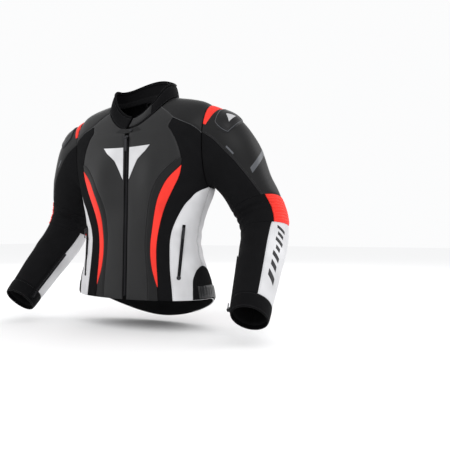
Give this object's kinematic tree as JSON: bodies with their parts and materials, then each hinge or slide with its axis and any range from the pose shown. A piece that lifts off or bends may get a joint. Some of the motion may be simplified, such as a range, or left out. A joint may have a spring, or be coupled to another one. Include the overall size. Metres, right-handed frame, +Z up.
{
  "type": "motorcycle jacket",
  "caption": "Close-fitting leather riding jacket with pre-curved hinged sleeves, stand-up collar, front zip, zipped pockets and waist straps.",
  "frame": {"origin": "centre plane of the neck opening, level with the seam at the nape, where the wearer's neck passes", "axes": "+Z up, the wearer faces -Y, +X is the wearer's left, from sleeve to sleeve"},
  "size_m": [0.7282, 0.2489, 0.6064],
  "materials": {
    "black_leather": "soft sheen",
    "stretch_cloth": "matte woven",
    "white_leather": "soft sheen",
    "red_leather": "satin",
    "collar_cloth": "soft matte",
    "lining_cloth": "matte mesh",
    "zip_tape": "matte woven",
    "zip_metal": "dark plated",
    "hard_cup": "satin",
    "reflective": "reflective film"
  },
  "bodies": {
    "jacket": {"front_panel_left": "black_leather", "front_panel_right": "black_leather", "princess_strips": "black_leather", "yoke_left": "black_leather", "yoke_right": "black_leather", "back_centre": "black_leather", "lumbar_panel": "black_leather", "front_stretch_left": "stretch_cloth", "front_stretch_right": "stretch_cloth", "back_stretch": "stretch_cloth", "waist_insets": "stretch_cloth", "side_panel_left": "white_leather", "side_panel_right": "white_leather", "flank_panel_left": "white_leather", "flank_panel_right": "white_leather", "emblem": "white_leather", "front_stripes": "red_leather", "back_piping": "red_leather", "back_accordion": "red_leather", "collar": "collar_cloth", "collar_trim": "collar_cloth", "torso_lining": "lining_cloth", "hanger_loop": "lining_cloth", "zip_tape": "zip_tape", "pocket_zips": "zip_tape", "trouser_zip": "zip_tape", "zip_chain": "zip_metal"},
    "main_slider": {"main_slider": "zip_metal"},
    "main_pull": {"main_pull": "zip_metal"},
    "collar_tab": {"collar_tab": "black_leather"},
    "pocket_slider_left": {"pocket_slider_left": "zip_metal"},
    "pocket_pull_left": {"pocket_pull_left": "zip_metal"},
    "waist_tab_left": {"waist_tab_left": "black_leather"},
    "sleeve_left": {"shoulder_band_left": "red_leather", "shoulder_cup_left": "hard_cup", "upper_sleeve_left": "black_leather", "sleeve_stretch_left": "stretch_cloth", "reflector_left": "reflective"},
    "forearm_left": {"elbow_accordion_left": "red_leather", "forearm_panel_left": "white_leather", "forearm_stretch_left": "stretch_cloth", "cuff_left": "collar_cloth", "cuff_zip_left": "zip_tape"},
    "cuff_slider_left": {"cuff_slider_left": "zip_metal"},
    "cuff_pull_left": {"cuff_pull_left": "zip_metal"},
    "pocket_slider_right": {"pocket_slider_right": "zip_metal"},
    "pocket_pull_right": {"pocket_pull_right": "zip_metal"},
    "waist_tab_right": {"waist_tab_right": "black_leather"},
    "sleeve_right": {"shoulder_band_right": "red_leather", "shoulder_cup_right": "hard_cup", "upper_sleeve_right": "black_leather", "sleeve_stretch_right": "stretch_cloth", "reflector_right": "reflective"},
    "forearm_right": {"elbow_accordion_right": "red_leather", "forearm_panel_right": "white_leather", "forearm_stretch_right": "stretch_cloth", "cuff_right": "collar_cloth", "cuff_zip_right": "zip_tape"},
    "cuff_slider_right": {"cuff_slider_right": "zip_metal"},
    "cuff_pull_right": {"cuff_pull_right": "zip_metal"}
  },
  "joints": [
    {"name": "main_zip", "type": "slide", "parent": "jacket", "child": "main_slider", "axis": [0, -0.0295, -0.9996], "range_m": [0, 0.36]},
    {"name": "main_pull_swing", "type": "hinge", "parent": "main_slider", "child": "main_pull", "pos_m": [0, -0.08705, -0.12037], "axis": [-1, 0, 0], "range_deg": [0, 110]},
    {"name": "collar_tab_open", "type": "hinge", "parent": "jacket", "child": "collar_tab", "pos_m": [0.05326, -0.0586, -0.05138], "axis": [-0.1886, 0.4284, 0.8837], "range_deg": [0, 110]},
    {"name": "pocket_zip_left", "type": "slide", "parent": "jacket", "child": "pocket_slider_left", "axis": [-0.0454, -0.1222, -0.9915], "range_m": [0, 0.092]},
    {"name": "pocket_pull_swing_left", "type": "hinge", "parent": "pocket_slider_left", "child": "pocket_pull_left", "pos_m": [0.14395, -0.06191, -0.33695], "axis": [-0.8317, -0.5452, 0.1053], "range_deg": [0, 110]},
    {"name": "waist_tab_open_left", "type": "hinge", "parent": "jacket", "child": "waist_tab_left", "pos_m": [0.17845, 0.02749, -0.48799], "axis": [0, 0, 1], "range_deg": [0, 100]},
    {"name": "shoulder_swing_left", "type": "hinge", "parent": "jacket", "child": "sleeve_left", "pos_m": [0.1828, 0.008, -0.139], "axis": [1, 0, 0], "range_deg": [-35, 20]},
    {"name": "elbow_bend_left", "type": "hinge", "parent": "sleeve_left", "child": "forearm_left", "pos_m": [0.2888, 0.054, -0.313], "axis": [1, 0, 0], "range_deg": [-30, 25]},
    {"name": "cuff_zip_slide_left", "type": "slide", "parent": "forearm_left", "child": "cuff_slider_left", "axis": [-0.1784, 0.6557, 0.7337], "range_m": [0, 0.07]},
    {"name": "cuff_pull_swing_left", "type": "hinge", "parent": "cuff_slider_left", "child": "cuff_pull_left", "pos_m": [0.27555, -0.10776, -0.50739], "axis": [0.1485, -0.7191, 0.6788], "range_deg": [0, 110]},
    {"name": "pocket_zip_right", "type": "slide", "parent": "jacket", "child": "pocket_slider_right", "axis": [0.0454, -0.1222, -0.9915], "range_m": [0, 0.092]},
    {"name": "pocket_pull_swing_right", "type": "hinge", "parent": "pocket_slider_right", "child": "pocket_pull_right", "pos_m": [-0.14395, -0.06191, -0.33695], "axis": [-0.8317, 0.5452, -0.1053], "range_deg": [0, 110]},
    {"name": "waist_tab_open_right", "type": "hinge", "parent": "jacket", "child": "waist_tab_right", "pos_m": [-0.17845, 0.02749, -0.48799], "axis": [0, 0, -1], "range_deg": [0, 100]},
    {"name": "shoulder_swing_right", "type": "hinge", "parent": "jacket", "child": "sleeve_right", "pos_m": [-0.1828, 0.008, -0.139], "axis": [1, 0, 0], "range_deg": [-35, 20]},
    {"name": "elbow_bend_right", "type": "hinge", "parent": "sleeve_right", "child": "forearm_right", "pos_m": [-0.2888, 0.054, -0.313], "axis": [1, 0, 0], "range_deg": [-30, 25]},
    {"name": "cuff_zip_slide_right", "type": "slide", "parent": "forearm_right", "child": "cuff_slider_right", "axis": [0.1784, 0.6557, 0.7337], "range_m": [0, 0.07]},
    {"name": "cuff_pull_swing_right", "type": "hinge", "parent": "cuff_slider_right", "child": "cuff_pull_right", "pos_m": [-0.27555, -0.10776, -0.50739], "axis": [0.1485, 0.7191, -0.6788], "range_deg": [0, 110]}
  ]
}
